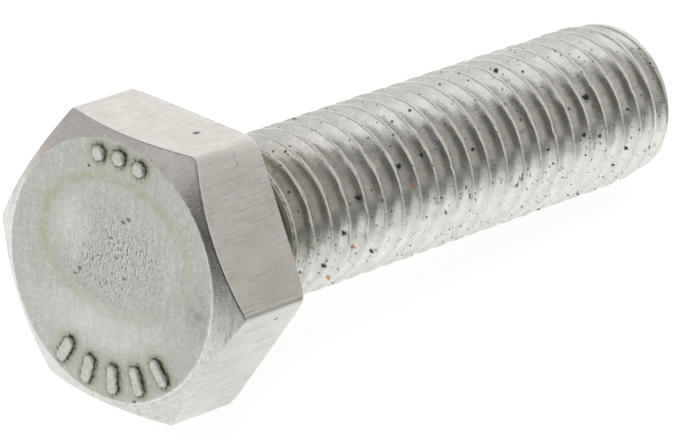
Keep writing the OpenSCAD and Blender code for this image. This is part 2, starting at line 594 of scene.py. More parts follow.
def paint(piece, rows):
    """Stores values at a piece's points, for `painted` to read. Each row holds one point's values."""
    for name in rows[0]:
        attribute = piece.data.attributes.new(name, "FLOAT", "POINT")
        attribute.data.foreach_set("value", [row[name] for row in rows])
    print("Painted on", piece.name, "at", len(rows), "points:", ", ".join(rows[0]))


print("Paint helpers ready")

# %% [markdown]
# ## The outline of the hexagon
# The head is trimmed from a round blank, so its corners are slightly soft. The outline is given as
# a list of angles and radii: even steps along each flat and a small arc round each corner.

# %% Hexagon outline
HALF_FLATS = 6.5
# Radius of each corner, counted from the one at 60 degrees. The second one is worn.
CORNER_ROUNDS = [0.3, 0.55, 0.3, 0.3, 0.3, 0.3]
FLAT_STEPS = 56
CORNER_STEPS = 8
SIXTH = math.pi / 3


def hexagon_outline():
    """(angle, radius) round the hexagon. Flats face 30, 90, 150 degrees and so on."""
    outline = []
    for side in range(6):
        facing = SIXTH * (side + 0.5)
        start = (CORNER_ROUNDS[side - 1] - HALF_FLATS) * math.tan(SIXTH / 2)
        end = (HALF_FLATS - CORNER_ROUNDS[side]) * math.tan(SIXTH / 2)
        for step in range(FLAT_STEPS):
            along = start + (end - start) * step / (FLAT_STEPS - 1)
            outline.append((facing + math.atan2(along, HALF_FLATS), math.hypot(along, HALF_FLATS)))
        corner = facing + SIXTH / 2
        arc_middle = (HALF_FLATS - CORNER_ROUNDS[side]) / math.cos(SIXTH / 2)
        for step in range(1, CORNER_STEPS):
            turn = SIXTH * (step / CORNER_STEPS - 0.5)
            y = arc_middle + CORNER_ROUNDS[side] * math.cos(turn)
            z = CORNER_ROUNDS[side] * math.sin(turn)
            outline.append((corner + math.atan2(z, y), math.hypot(y, z)))
    return outline


HEXAGON = hexagon_outline()
print("Points round the hexagon:", len(HEXAGON))

# %% [markdown]
# ## The shape of the head
# On the real bolt a punch pressed the top flat and left a shallow oval dish, then the corners were
# turned to a 30 degree chamfer. The chamfer meets a flat lower in the middle than at the corners,
# which draws the well known arcs. Cutting a hexagon with a cone would give the arcs with sharp
# edges. Working out each column of points from the hexagon's radius gives them with soft edges.

# %% Head sizes
HEAD_TOP = -5.2
HEAD_BACK = -0.34
TOP_CIRCLE = 6.1
CHAMFER_SLOPE = math.tan(math.radians(30))
BACK_CIRCLE = 7.2
EDGE_BREAK = 0.07
EDGE_REACH = 0.07
EDGE_STEPS = 4
# The dish's middle and half widths, as (y, z)
DISH = ((-0.15, 1.15), (4.2, 3.0))
DISH_DEPTH = 0.08
DISH_RIM = 0.2
# How uneven the pressed face is, and how fast that changes. The level picks one slice of the noise.
UNEVEN_DEPTH, UNEVEN_PER_MM, UNEVEN_LEVEL = 0.012, 0.9, 3.0


def top_height(y, z):
    """Where the top face lies along X: pressed in by the dish and very slightly uneven."""
    pressed = DISH_DEPTH * (1 - smoothstep(1 - DISH_RIM, 1, oval_distance(DISH, y, z)))
    uneven = UNEVEN_DEPTH * noise.noise(Vector((y, z, UNEVEN_LEVEL)) * UNEVEN_PER_MM)
    return HEAD_TOP + pressed + uneven


print("Top of the head at the dish's middle:", round(top_height(*DISH[0]), 3))

# %% [markdown]
# The rings run from the middle of the top outwards, over the chamfer, down the flats and in again on
# the bearing side. They stand closer where paint has to be sharp: near the marks and along edges. A
# Bevel modifier could round the edges, but then no ring would be known to lie on an edge.

# %% Head rings
TOP_INNER = [0.15 + 0.125 * i for i in range(30)]
TOP_OUTER = [3.9 + 0.065 * i for i in range(32)]
CHAMFER_STEPS = 12
WALL_STEPS = 22
WALL_CROWD = 1.5
BACK_STEPS = 4
BACK_INNER = 3.0
# Points of one rounded edge
BEND = EDGE_STEPS + 1


def stretched(start, end, steps, crowd=1.0):
    """Points between two points of a line, without its ends. Crowd draws them to the start."""
    shares = [(i / steps) ** crowd for i in range(1, steps)]
    return [tuple(a + (b - a) * share for a, b in zip(start, end)) for share in shares]


def side_line(radius):
    """(x, radius) from the top circle to the back, where the hexagon has that radius."""
    bevel = max(0.0, radius - BACK_CIRCLE) * CHAMFER_SLOPE + EDGE_BREAK
    corners = [
        (HEAD_TOP, TOP_OUTER[-1]),
        (HEAD_TOP, TOP_CIRCLE),
        (HEAD_TOP + (radius - TOP_CIRCLE) * CHAMFER_SLOPE, radius),
        (HEAD_BACK - bevel, radius),
        (HEAD_BACK, min(radius, BACK_CIRCLE) - EDGE_BREAK),
        (HEAD_BACK, BACK_INNER),
    ]
    line = rounded(corners, EDGE_REACH, EDGE_STEPS)[1:]
    chamfer = stretched(line[BEND - 1], line[BEND], CHAMFER_STEPS)
    wall = stretched(line[2 * BEND - 1], line[2 * BEND], WALL_STEPS, WALL_CROWD)
    back = stretched(line[4 * BEND - 1], line[4 * BEND], BACK_STEPS)
    edge_and_flat = line[BEND : 2 * BEND] + wall + line[2 * BEND : 4 * BEND]
    return line[:BEND] + chamfer + edge_and_flat + back + line[4 * BEND :]


side_lines = [side_line(radius) for _, radius in HEXAGON]
head_rings = []
for radius in TOP_INNER + TOP_OUTER:
    spots = [around(0, radius, angle) for angle, _ in HEXAGON]
    head_rings.append([(top_height(y, z), y, z) for _, y, z in spots])
for level in range(len(side_lines[0])):
    columns = zip(side_lines, HEXAGON)
    head_rings.append([around(*side[level], angle) for side, (angle, _) in columns])
print("Rings in the head:", len(head_rings), "with", len(HEXAGON), "points each")

# %% [markdown]
# ## Places of the raised marks
# The punch also leaves raised marks on the top face. Here they are plain bars below the dish and
# round pips above it. Dirt gathers round their feet, so the head needs to know how far each of its
# points is from a mark before it is painted.

# %% Mark places
BAR_ANGLES = [-132, -115, -98, -81, -64]
BAR_RADII = (4.7, 5.5)
BAR_HALF_WIDTH = 0.3
PIP_ANGLES = [77, 90, 103]
PIP_RADIUS = 5.425
PIP_HALF_WIDTH = 0.375


def flat_point(radius, degrees):
    return Vector((radius * math.cos(math.radians(degrees)), radius * math.sin(math.radians(degrees))))


bars = [tuple(flat_point(radius, degrees) for radius in BAR_RADII) for degrees in BAR_ANGLES]
pips = [flat_point(PIP_RADIUS, degrees) for degrees in PIP_ANGLES]


def mark_gap(y, z):
    """Distance from a point of the top face to the nearest mark's outline."""
    here = Vector((y, z))
    gaps = [(here - pip).length - PIP_HALF_WIDTH for pip in pips]
    for start, end in bars:
        reach = end - start
        share = min(1.0, max(0.0, (here - start).dot(reach) / reach.length_squared))
        gaps.append((here - start - reach * share).length - BAR_HALF_WIDTH)
    return min(gaps)


print("Marks:", len(bars), "bars and", len(pips), "pips")

# %% [markdown]
# ## The pressed top
# The top of the head was pressed, tumbled and pickled, so it is a dull grey with a hint of green.
# The dish shows fine flecks where the punch tore the skin of the blank. Each fleck is dark, for the
# torn mark and its painted shadow, with a painted highlight beside it as a light lip: the same mask is
# read twice, once a little to the side. A faint yellow band runs round the rim, and dirt sits round
# the marks. The mesh will store where these are, and the groups break them up. The masks come first.

# %% Masks of the pressed top
# Dark specks round the dish and longer tears in it: place and radius
TOP_SPECKS = [
    ((-5.2, 1.79, 4.5), 0.11),
    ((-5.2, 5.85, 2.4), 0.12),
    ((-5.2, 5.55, 3.2), 0.09),
    ((-5.2, -2.1, -5.75), 0.18),
]
TOP_TEARS = [
    ((-5.12, -0.45, 2.47), 0.11),
    ((-5.12, -0.76, 2.70), 0.12),
    ((-5.12, 0.22, 1.52), 0.10),
    ((-5.12, 1.89, -0.54), 0.12),
    ((-5.12, 2.12, -0.85), 0.09),
]
LIP_SIDE = (0.0, 0.05, 0.03)
STREAK_STRETCH = (1.0, 1.0, 0.12)
TEAR_SHAPE = (1.0, 0.65, 1.0)

pressed_top, where = metal("pressed_top")
clouds = place(mottle, where, Scale=0.9, Contrast=2.6)
patches = place(mottle, where, Scale=2.6, Contrast=3.0)
coat = place(mottle, where, Scale=3.4, Contrast=3.4)
crumbs = place(mottle, where, Scale=5.0, Contrast=3.2)
grain = place(mottle, where, Scale=7.5, Contrast=3.4)
streaks = noise_at(vector_maths("MULTIPLY", where, STREAK_STRETCH), 5.0, detail=2.0)
in_dish = times(painted(pressed_top, "dish"), ramp(clouds, 0.3, 0.75, 1.0, 0.7))
# A painted highlight beside each fleck, as its light lip
lip = place(torn, vector_maths("ADD", where, LIP_SIDE), Marks_per_mm=9.0, Cut=0.52)
flecks = times(place(torn, where, Marks_per_mm=9.0, Cut=0.535), in_dish)
flecks = largest(flecks, placed_spots(where, TOP_TEARS, TEAR_SHAPE))
stray = place(specks, where, Cells_per_mm=0.9, Share=0.16, Radius=0.08)
stray = largest(stray, placed_spots(where, TOP_SPECKS))
print("Masks of the pressed top ready")

# %% [markdown]
# The coats go on from the steel up: its clouds and grain, then stains, torn skin and dirt, and last
# the rubbed edge with its painted highlight, and the specks. The Mix nodes could be wired by hand in
# the Shader Editor, but a list is easier to read and to reorder.

# %% Finish of the pressed top
colour = layered(
    (0.505, 0.498, 0.472),
    (clouds, (0.60, 0.59, 0.565)),
    (ramp(patches, 0, 1, 0.0, 0.36), (0.425, 0.418, 0.397)),
    (ramp(coat, 0.4, 1.0, 0.0, 0.36), (0.74, 0.73, 0.70)),
    (ramp(grain, 0.0, 0.75, 0.3, 0.0), (0.27, 0.265, 0.245)),
    (ramp(streaks, 0.42, 0.7, 0.0, 0.3), (0.36, 0.355, 0.335)),
    # Light and dull patches, and the yellow band on the rim
    (times(painted(pressed_top, "light"), ramp(patches, 0.1, 0.7, 0.5, 1.0)), (0.74, 0.73, 0.70)),
    (times(painted(pressed_top, "dull"), ramp(patches, 0.2, 0.8, 1.0, 0.2)), (0.31, 0.305, 0.285)),
    (times(painted(pressed_top, "rim"), ramp(patches, 0.1, 0.8, 0.3, 1.0), 0.85), (0.42, 0.41, 0.30)),
    # The torn skin: the painted highlight of its lip first, then the dark fleck, which is the torn
    # mark with its painted shadow
    (times(lip, times(in_dish, 0.7)), (0.80, 0.79, 0.755)),
    (times(flecks, 0.9), (0.15, 0.146, 0.128)),
    # Dirt round the marks, with a yellow halo
    (times(painted(pressed_top, "halo"), 0.55), (0.41, 0.395, 0.29)),
    (times(painted(pressed_top, "dirt"), ramp(crumbs, 0.35, 0.7, 0.2, 1.0)), (0.07, 0.066, 0.05)),
    # The rubbed edge of the top circle, partly wear and partly a painted highlight that grows towards
    # the camera, and specks over everything
    (times(painted(pressed_top, "edge"), ramp(coat, 0.2, 0.7, 0.3, 1.0)), (0.84, 0.83, 0.80)),
    (times(stray, 0.9), (0.04, 0.04, 0.03)),
)
complete(pressed_top, colour, ramp(clouds, 0, 1, 0.40, 0.52), minus(grain, flecks), 0.016)

# %% [markdown]
# ## The turned chamfer
# A turning tool leaves faint rings. A Wave texture has a mode for rings, but they come out too
# regular. Here a ring is a noise that hardly changes along the turn: it reads the distance from
# the axis at full scale and the place itself only coarsely.

# %% Tool rings
RINGS_PER_MM = 9.0


def noise_lines(across, where, along, roughness):
    """Noise in lines: it changes fast with the value across and slowly with the place along."""
    fast = add(where.id_data, "ShaderNodeCombineXYZ")
    feed(fast.inputs["X"], across)
    slow = vector_maths("MULTIPLY", where, along)
    return noise_at(vector_maths("ADD", slow, fast.outputs[0]), 1.0, 3.0, roughness)


def tool_rings(where, along):
    """Rings round the axis. Along says how fast a ring changes, per millimetre."""
    return noise_lines(times(from_axis(where), RINGS_PER_MM), where, (0.0, along, along), 0.6)


print("Tool rings per mm:", RINGS_PER_MM)

# %% [markdown]
# The chamfer is smoother and warmer than the top. A brown stain lies on its upper part. Painted shade
# darkens it towards the top, and painted light makes it paler below and bright on the side away from
# the camera. The coats for that read the place's own Y and Z, which is enough for stains and painted
# light with no edge. The longer scratches are placed spots, stretched by a shape.

# %% Finish of the turned chamfer
CHAMFER_SCRATCHES = [
    ((-4.75, -6.95, -0.35), 0.14),
    ((-4.75, -6.75, -1.15), 0.16),
    ((-4.75, -6.9, -0.9), 0.12),
    ((-4.8, -5.75, -2.9), 0.12),
]
SCRATCH_SHAPE = (0.6, 2.2, 0.3)

turned_chamfer, where = metal("turned_chamfer")
_, sideways, upward = axes_of(where)
clouds = place(mottle, where, Scale=1.3, Contrast=2.8)
coat = place(mottle, where, Scale=3.4, Contrast=3.4)
grain = place(mottle, where, Scale=7.5, Contrast=3.2)
rings = tool_rings(where, 0.5)
stain = ramp(place(mottle, where, Scale=0.7, Contrast=3.0), 0.4, 0.8, 0.0, 0.65)
scratches = placed_spots(where, CHAMFER_SCRATCHES, SCRATCH_SHAPE)
scratches = times(scratches, ramp(grain, 0.2, 0.6, 1.0, 0.4))
scratches = largest(scratches, times(place(torn, where, Marks_per_mm=5.0, Cut=0.58), 0.8))

colour = layered(
    (0.53, 0.52, 0.505),
    (clouds, (0.65, 0.64, 0.62)),
    # Painted light: paler towards the bottom, and bright on the side away from the camera
    (ramp(upward, 0.5, -3.0, 0.0, 0.45), (0.69, 0.685, 0.66)),
    (ramp(sideways, 4.2, 6.0, 0.0, 0.75), (0.84, 0.835, 0.82)),
    (ramp(coat, 0.4, 1.0, 0.0, 0.3), (0.80, 0.79, 0.77)),
    (ramp(grain, 0.0, 0.75, 0.33, 0.0), (0.34, 0.335, 0.32)),
    (ramp(rings, 0.4, 0.68, 0.0, 0.45), (0.42, 0.41, 0.40)),
    # Painted shade towards the top, then a brown stain on the upper part
    (ramp(upward, 2.0, 5.0, 0.0, 0.56), (0.385, 0.36, 0.352)),
    (times(stain, ramp(upward, 0.0, 2.5)), (0.42, 0.36, 0.335)),
    (times(scratches, 0.6), (0.22, 0.215, 0.20)),
    # The burr next to the flat, the rubbed edge next to the top, partly wear and partly a painted
    # highlight, and specks
    (times(painted(turned_chamfer, "burr"), ramp(coat, 0.15, 0.6, 0.5, 1.0)), (0.09, 0.085, 0.075)),
    (times(painted(turned_chamfer, "edge"), ramp(coat, 0.2, 0.7, 0.3, 1.0)), (0.84, 0.83, 0.80)),
    (place(specks, where, Cells_per_mm=1.1, Share=0.3, Radius=0.11), (0.05, 0.05, 0.04)),
)
relief = plus(times(grain, 0.4), rings)
complete(turned_chamfer, colour, ramp(grain, 0, 1, 0.18, 0.28), relief, 0.006)

# %% [markdown]
# ## The trimmed flats
# The flats were sheared by the trimming die. Hair lines run along the axis, denser in some places than
# in others, with a few deeper scratches. A scratch is dark with a bright lip, which is a painted
# highlight, made like the flecks on the top: the same lines are read twice, once moved a little. A
# second set of lines breaks the scratches up, because one that ran over the whole flat would look
# ruled.

# %% Masks of the trimmed flats
FLAT_SPECKS = [((-2.2, -1.74, 6.5), 0.14), ((-1.88, -7.08, -0.74), 0.09)]
FLAT_NICKS = [((-2.06, -4.14, 5.83), 0.08), ((-2.08, -3.97, 6.12), 0.07)]
FLAT_SPECK_SHAPE, NICK_SHAPE = (0.5, 0.8, 1.0), (1.6, 0.35, 0.35)
SCRATCH_SHIFT = (3.0, 7.0, 5.0)
LIP_SHIFT = (3.0, 7.015, 5.035)
BREAK_SHIFT = (9.0, 2.0, 4.0)

trimmed_flats, where = metal("trimmed_flats")
_, _, upward = axes_of(where)
scratched, beside, elsewhere = (
    vector_maths("ADD", where, shift) for shift in (SCRATCH_SHIFT, LIP_SHIFT, BREAK_SHIFT)
)
clouds = place(mottle, where, Scale=0.7, Contrast=2.4)
patches = place(mottle, where, Scale=1.8, Contrast=3.0)
coat = place(mottle, where, Scale=4.0, Contrast=3.0)
grain = place(mottle, where, Scale=6.5, Contrast=3.4)
lined = ramp(place(mottle, elsewhere, Scale=0.55, Contrast=3.6), 0.3, 0.7, 0.3, 1.0)
lined = times(lined, ramp(upward, 6.2, 6.45, 1.0, 0.45))
hair = place(lines, where, Lines_per_mm=15.0, Stretch=0.035)
broken = place(lines, elsewhere, Lines_per_mm=5.0, Stretch=0.09)
broken = times(ramp(broken, 0.42, 0.58, 0.1, 1.0), lined)
# A painted highlight beside each scratch, as its bright lip
bright = place(lines, beside, Lines_per_mm=9.0, Stretch=0.012)
dark = place(lines, scratched, Lines_per_mm=9.0, Stretch=0.012)
warm = ramp(place(mottle, where, Scale=0.45, Contrast=3.2), 0.35, 0.8, 0.0, 0.5)
warm = times(warm, ramp(upward, 4.2, 2.8), ramp(upward, -1.0, 0.5, 0.3, 1.0))
nicks = placed_spots(where, FLAT_NICKS, NICK_SHAPE)
stray = place(specks, where, Cells_per_mm=0.5, Share=0.12, Radius=0.10)
stray = largest(stray, placed_spots(where, FLAT_SPECKS, FLAT_SPECK_SHAPE))
print("Masks of the trimmed flats ready")

# %% [markdown]
# The flats are brighter than the top, because shearing leaves a cleaner skin than pressing does. The
# lines go on before the scratches, and both before what handling left: the stain, the worn corner with
# its painted highlight, and the specks. The bump follows the hair lines, so that they also break up
# the reflections.

# %% Finish of the trimmed flats
colour = layered(
    (0.665, 0.648, 0.62),
    (clouds, (0.79, 0.775, 0.76)),
    (ramp(grain, 0.0, 0.75, 0.22, 0.0), (0.45, 0.435, 0.415)),
    (ramp(patches, 0.0, 1.0, 0.34, 0.0), (0.56, 0.54, 0.51)),
    (ramp(coat, 0.3, 1.0, 0.0, 0.28), (0.86, 0.845, 0.82)),
    # Hair lines, a warm film, then the scratches with the painted highlights of their lips
    (times(ramp(hair, 0.44, 0.66, 0.0, 0.52), lined), (0.46, 0.445, 0.425)),
    (times(ramp(hair, 0.44, 0.27, 0.0, 0.4), lined), (0.88, 0.865, 0.845)),
    (warm, (0.63, 0.60, 0.52)),
    (times(ramp(bright, 0.54, 0.64, 0.0, 0.75), broken), (0.93, 0.915, 0.89)),
    (times(ramp(dark, 0.54, 0.65, 0.0, 0.85), broken), (0.37, 0.355, 0.33)),
    # What is painted at certain places: the stain, a painted highlight at the worn corner and on the
    # edge's lip, then nicks and specks
    (painted(trimmed_flats, "stain"), (0.60, 0.57, 0.485)),
    (painted(trimmed_flats, "worn"), (0.94, 0.925, 0.905)),
    (times(painted(trimmed_flats, "lip"), ramp(coat, 0.1, 0.6, 0.4, 1.0)), (0.96, 0.95, 0.93)),
    (times(nicks, 0.7), (0.30, 0.295, 0.275)),
    (stray, (0.05, 0.05, 0.04)),
)
complete(trimmed_flats, colour, ramp(hair, 0.3, 0.7, 0.26, 0.40), minus(hair, nicks), 0.009)

# %% [markdown]
# ## The bearing side
# The underside of the head and its washer face were faced on a lathe, so they carry the same kind of
# rings as the chamfer, but clearer ones. Painted shade darkens the corner next to the shank. An
# Ambient Occlusion node could find that corner, but the distance from the axis is simpler.

# %% Finish of the faced bearing side
faced_side, where = metal("faced_side")
rings = tool_rings(where, 0.05)
clouds = place(mottle, where, Scale=0.8, Contrast=2.2)
oil = plus(from_axis(where), ramp(clouds, 0, 1, -0.3, 0.3))
colour = layered(
    (0.50, 0.49, 0.465),
    (clouds, (0.60, 0.59, 0.565)),
    (ramp(rings, 0.4, 0.7, 0.0, 0.35), (0.46, 0.45, 0.43)),
    # Painted shade in the corner next to the shank
    (ramp(oil, 6.6, 5.2, 0.0, 0.85, smooth=True), (0.15, 0.141, 0.11)),
    (place(specks, where, Cells_per_mm=0.8, Share=0.2, Radius=0.10), (0.06, 0.055, 0.045)),
)
complete(faced_side, colour, ramp(rings, 0.3, 0.7, 0.26, 0.42), rings, 0.015)

# %% [markdown]
# ## Putting the head together
# The rings become one closed mesh with four finishes. A finish changes in the middle of a rounded
# edge, where the real surfaces meet. Four meshes would be simpler to paint, but the light would
# break at their borders.

# %% Head piece
points, faces = skin(head_rings)
hex_head = make_piece(
    "bolt_head", ["hex_head"], HEAD_SLOT, points, faces,
    pressed_top, turned_chamfer, trimmed_flats, faced_side,
)
top_end = len(TOP_INNER) + len(TOP_OUTER) + EDGE_STEPS // 2
chamfer_end = top_end + BEND + CHAMFER_STEPS - 1
flats_end = chamfer_end + 2 * BEND + WALL_STEPS - 1
finishes = []
for level in range(len(head_rings) - 1):
    finish = (level >= top_end) + (level >= chamfer_end) + (level >= flats_end)
    finishes += [finish] * len(HEXAGON)
# The two fans that close the ends
finishes += [0] * len(HEXAGON) + [3] * len(HEXAGON)
hex_head.data.polygons.foreach_set("material_index", finishes)
print("The finish changes at rings", top_end, chamfer_end, flats_end)

# %% [markdown]
# ## Stains and tears on the top
# The punch tore the blank in clusters inside an oval, a little off the middle. A yellow film dried
# along the dish's rim, dirt packed itself round the marks, and the face has lighter patches and a
# dull one. An image painted by hand could hold all this. Values at the points of the mesh need no
# image: each is a soft patch, or fades with the distance from a rim or a mark.

# %% Paint the dish, its rim and the dirt
# Points less than this behind the top belong to the top face
TOP_LAYER = DISH_DEPTH + 0.05
# Each patch is its middle and its half widths, as (y, z)
TORN_OVAL, TORN_FADE = ((0.0, 0.75), (3.6, 2.9)), (0.45, 1.1)
TORN_CLUSTERS = [
    ((-0.6, 0.5), (0.75, 1.0)),
    ((1.5, -0.5), (0.6, 0.8)),
    ((0.0, -0.6), (0.9, 0.5)),
    ((-2.2, 1.4), (0.7, 1.2)),
    ((0.9, 0.4), (0.5, 0.5)),
    ((0.4, 1.5), (0.4, 0.4)),
    ((-1.7, 3.2), (0.5, 0.3)),
]
TORN_THIN, TORN_MORE = 0.6, 0.75
LIGHT_PATCHES, LIGHT_STRENGTH = [((0.4, -2.9), (3.4, 1.1)), ((2.5, 1.3), (1.1, 1.3))], 0.5
DULL_PATCH, DULL_STRENGTH = ((-5.3, -0.2), (0.8, 1.0)), 0.95
# The film on the rim is fainter low down on one side, and wider at one place
RIM_PLACE, RIM_WIDTH = 1.05, 0.08
RIM_FAINT, RIM_LEAN, RIM_FADE = 0.4, 0.55, (-2.2, 2.4)
RIM_PATCH, RIM_PATCH_STRENGTH = ((4.3, -0.2), (0.4, 1.1)), 0.6
DIRT_REACH, HALO_REACH = 0.17, 0.45


def top_shares(x, y, z):
    """How much of each stain lies at a point of the head."""
    torn_oval = 1 - smoothstep(*TORN_FADE, oval_distance(TORN_OVAL, y, z))
    cluster = max(soft_patch(patch, y, z) for patch in TORN_CLUSTERS)
    rim = bell(oval_distance(DISH, y, z) - RIM_PLACE, RIM_WIDTH)
    rim *= RIM_FAINT + (1 - RIM_FAINT) * smoothstep(*RIM_FADE, z + RIM_LEAN * y)
    gap = max(0.0, mark_gap(y, z))
    shares = {
        "dish": torn_oval * (TORN_THIN + TORN_MORE * cluster),
        "rim": max(rim, RIM_PATCH_STRENGTH * soft_patch(RIM_PATCH, y, z)),
        "dirt": bell(gap, DIRT_REACH),
        "halo": bell(gap, HALO_REACH),
        "light": LIGHT_STRENGTH * max(soft_patch(patch, y, z) for patch in LIGHT_PATCHES),
        "dull": DULL_STRENGTH * soft_patch(DULL_PATCH, y, z),
    }
    on_top = x < HEAD_TOP + TOP_LAYER
    return {name: on_top * share for name, share in shares.items()}


paint(hex_head, [top_shares(*point) for point in points])

# %% [markdown]
# ## Worn edges of the head, with painted highlights
# Handling has rubbed the edge of the top circle a little bright all round, and a painted highlight on
# it grows towards the camera. On that side the trimming die also left a dark burr between the chamfer
# and the flat, with a bright lip behind it, which is a painted highlight on the rounded edge. One
# corner of the hexagon is worn round, a painted highlight spreads over the flat there, and that flat
# has a brown stain. These follow edges, so they are painted by distance too.

# %% Paint the edges
# Stretches of the head as angles in degrees, each with a soft start and end
CAMERA_SIDE, NEAR_FLAT = ((130, 160), (235, 255)), ((118, 126), (176, 182))
EDGE_GLOW, GLOW_AROUND, GLOW_NEAR_CAMERA = 0.05, 0.2, 0.4
EDGE_LAYER = 0.2
BURR_WIDTH = 0.08
# The bright lip, a painted highlight, is this many rings wide
LIP_RINGS, LIP_AROUND, LIP_NEAR_FLAT = 3, 0.06, 0.44
# The worn corner as (y, z), how far its painted highlight reaches, and how that grows towards the back
WORN_CORNER, WORN_REACH, WORN_SIDE = (-3.75, 6.5), 0.85, (119.5, 121)
WORN_FRONT, WORN_BACK, WORN_GROWTH = 0.3, 0.45, (-4.0, -0.8)
# The stain's middle and half widths, as (x, z)
STAIN, STAIN_STRENGTH, STAIN_EDGE = ((-1.9, 0.9), (1.1, 0.75)), 0.6, (0.0, 0.3)


def edge_shares(number, x, y, z):
    """How rubbed, burred or stained the head is at one of its points, and how much painted highlight
    lies there.
    """
    level, column = divmod(number, len(HEXAGON))
    out = math.hypot(y, z)
    degrees = math.degrees(math.atan2(z, y)) % 360
    on_flat = between(degrees, *NEAR_FLAT)
    ring = (x < HEAD_TOP + EDGE_LAYER) * bell(out - TOP_CIRCLE, EDGE_GLOW)
    from_flat = (HEXAGON[column][1] - out) / math.cos(SIXTH / 2)
    from_corner = math.hypot(y - WORN_CORNER[0], z - WORN_CORNER[1])
    worn = WORN_FRONT + WORN_BACK * smoothstep(*WORN_GROWTH, x)
    on_lip = chamfer_end < level < chamfer_end + LIP_RINGS
    return {
        # The edge's bright paint: a little wear all round, and a painted highlight towards the camera
        "edge": ring * (GLOW_AROUND + GLOW_NEAR_CAMERA * between(degrees, *CAMERA_SIDE)),
        "burr": on_flat * bell(from_flat, BURR_WIDTH),
        # A painted highlight over the flat at the worn corner
        "worn": worn * smoothstep(*WORN_SIDE, degrees) * bell(from_corner, WORN_REACH),
        # The bright lip is a painted highlight on the rounded edge
        "lip": on_lip * (LIP_AROUND + LIP_NEAR_FLAT * on_flat),
        "stain": STAIN_STRENGTH * smoothstep(*STAIN_EDGE, z) * soft_patch(STAIN, x, z),
    }


paint(hex_head, [edge_shares(number, *point) for number, point in enumerate(points)])

# %% [markdown]
# ## The raised marks
# The tops of the marks are rubbed lighter than the face, and dirt climbs a little way up their
# sides. How high a point stands on its mark is stored at the point, which is simpler than measuring
# the height inside the material.

# %% Finish of the marks
worn_marks, where = metal("worn_marks")
grain = place(mottle, where, Scale=6.0, Contrast=2.8)
crumbs = place(mottle, where, Scale=4.0, Contrast=3.5)
foot = ramp(painted(worn_marks, "rise"), 0.9, 0.3)
pits = place(specks, where, Cells_per_mm=4.0, Share=0.35, Radius=0.26)
colour = layered(
    (0.40, 0.40, 0.365),
    (grain, (0.63, 0.63, 0.59)),
    (times(foot, ramp(crumbs, 0.3, 0.7, 0.25, 1.0)), (0.09, 0.082, 0.06)),
    (times(pits, 0.7), (0.10, 0.09, 0.07)),
)
complete(worn_marks, colour, ramp(grain, 0, 1, 0.32, 0.48), grain, 0.012)

# %% [markdown]
# Each mark is a low pillow: its outline shrinks as it rises, so the edge catches the light. A
# bevel on an extruded outline would do as well. Rings of one capsule outline give the bars and the
# pips from the same few lines, because a pip is a bar without length.

# %% Mark pieces
MARK_HEIGHT = 0.2
MARK_FOOT = -0.04
CAPSULE_STEPS = 16
# The mark's section: share of its height, and how far the outline has moved in
MARK_SECTION = [(0.0, -0.02), (0.3, 0.0), (0.62, 0.02), (0.85, 0.06), (0.97, 0.12), (1.0, 0.20)]


def capsule_ring(start, end, half_width, height):
    """A ring of points round a line on the top face, at a height above it."""
    reach = end - start
    facing = math.atan2(reach.y, reach.x)
    ring = []
    for middle, turn in ((end, facing - math.pi / 2), (start, facing + math.pi / 2)):
        for step in range(CAPSULE_STEPS):
            angle = turn + math.pi * (step + 0.5) / CAPSULE_STEPS
            y = middle.x + half_width * math.cos(angle)
            z = middle.y + half_width * math.sin(angle)
            ring.append((HEAD_TOP - height, y, z))
    return ring


def make_marks(name, node, lines_on_top, half_width):
    """One piece with a pillow on each line, which replaces a CAD node."""
    points, faces, rises = [], [], []
    for start, end in lines_on_top:
        rings = []
        for share, inset in reversed(MARK_SECTION):
            height = MARK_HEIGHT * share if share else MARK_FOOT
            rings.append(capsule_ring(start, end, half_width - inset, height))
            rises += [share] * len(rings[-1])
        more_points, more_faces = skin(rings)
        faces += [tuple(index + len(points) for index in face) for face in more_faces]
        points += more_points
        # The hubs of the two fans
        rises += [1.0, 0.0]
    piece = make_piece(name, [node], HEAD_SLOT, points, faces, worn_marks)
    paint(piece, [{"rise": rise} for rise in rises])


make_marks("mark_bars", "head_mark_bars", bars, BAR_HALF_WIDTH)
make_marks("mark_pips", "head_mark_pips", [(pip, pip) for pip in pips], PIP_HALF_WIDTH)

# %% [markdown]
# ## The washer face
# Under the head a thin round step keeps the corners of the hexagon off the work. It is drawn as a
# profile with a broken edge and turned round the axis, like the neck and the end later on. The
# Screw modifier could turn it, but the ring helpers are there already and close the piece as well.
# It is a full disc: what lies inside the neck doesn't show.

# %% Turned pieces
TURN_STEPS = 128
WASHER_RADIUS = 5.85
COLLAR_RADIUS = 4.044
# How far pieces reach into each other, so that no gap shows
OVERLAP = 0.1
WASHER_EASE, WASHER_EASE_STEPS = 0.1, 4


def turned(name, node, slot, profile, material):
    """A piece turned round the axis from a line of (x, radius)."""
    rings = [
        [around(x, radius, 2 * math.pi * j / TURN_STEPS) for j in range(TURN_STEPS)]
        for x, radius in profile
    ]
    return make_piece(name, [node], slot, *skin(rings), material)


washer_corners = [
    (HEAD_BACK - OVERLAP, WASHER_RADIUS),
    (0.0, WASHER_RADIUS),
    (0.0, COLLAR_RADIUS - OVERLAP),
]
washer_line = rounded(washer_corners, WASHER_EASE, WASHER_EASE_STEPS)
turned("washer_step", "washer_face", HEAD_SLOT, washer_line, faced_side)

# %% [markdown]
# ## The rolled thread
# Rolling presses the thread into the blank: the root is round, the flanks stand at 60 degrees and the
# crest is a narrow flat with soft edges. Turning a profile with the Screw modifier is the usual way in
# Blender. Here the sections are placed one by one, because the crest wanders a little on the real bolt
# and has nicks. It also has to fade into the neck, where a seam splits the unfinished crest, and to
# follow the taper at the end of the blank. The start is the profile of one pitch.

